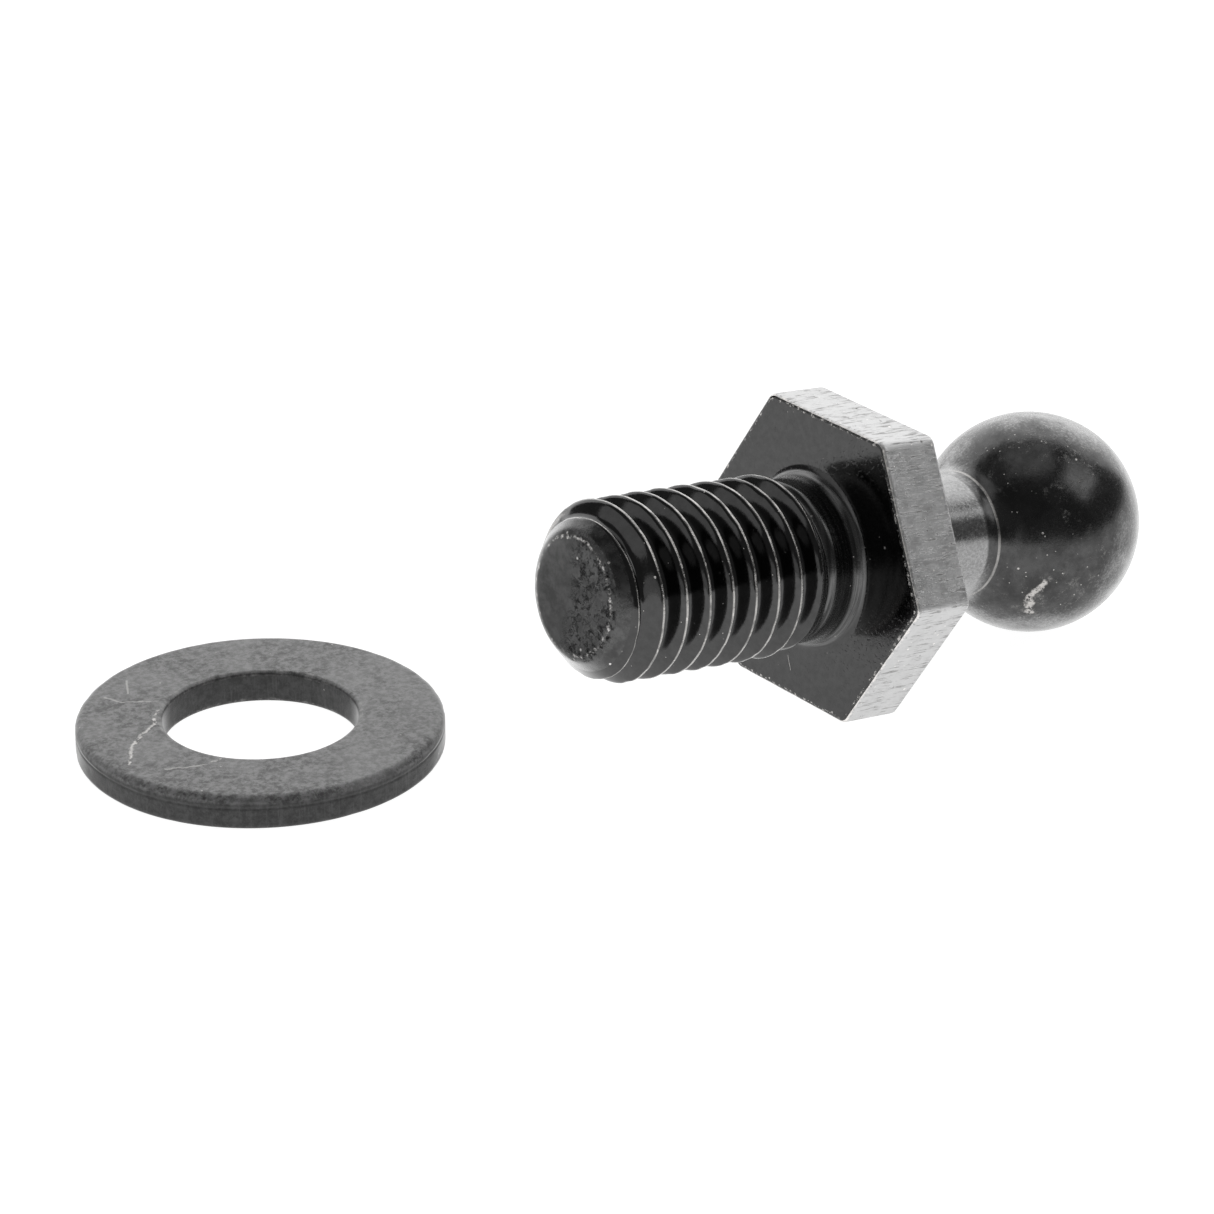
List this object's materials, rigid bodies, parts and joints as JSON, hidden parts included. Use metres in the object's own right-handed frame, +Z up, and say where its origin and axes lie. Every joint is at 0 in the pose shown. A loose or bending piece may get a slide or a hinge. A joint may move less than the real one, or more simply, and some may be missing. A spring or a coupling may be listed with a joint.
{
  "type": "ball stud with washer",
  "caption": "M8 ball stud with a 10 mm ball, neck and hexagon, lying on its side beside its loose plain washer.",
  "frame": {"origin": "on the surface that the set lies on, under the middle of its bounding box", "axes": "+Z up from the surface; +X follows the stud, level, from its threaded tip to its ball; +Y to the left of +X, towards the washer"},
  "size_m": [0.0478, 0.0258, 0.0131],
  "materials": {
    "black_oxide_steel": "glossy black oxide over forged and rolled steel, worn bright at its edges",
    "phosphated_steel": "matte mottled grey-black phosphate, scratched"
  },
  "bodies": {
    "stud": {"ball_stud": "black_oxide_steel"},
    "washer": {"flat_washer": "phosphated_steel"}
  },
  "joints": [
    {"name": "washer_lift", "type": "slide", "parent": "stud", "child": "washer", "axis": [0, 0, 1], "range_m": [0, 0.02]}
  ]
}
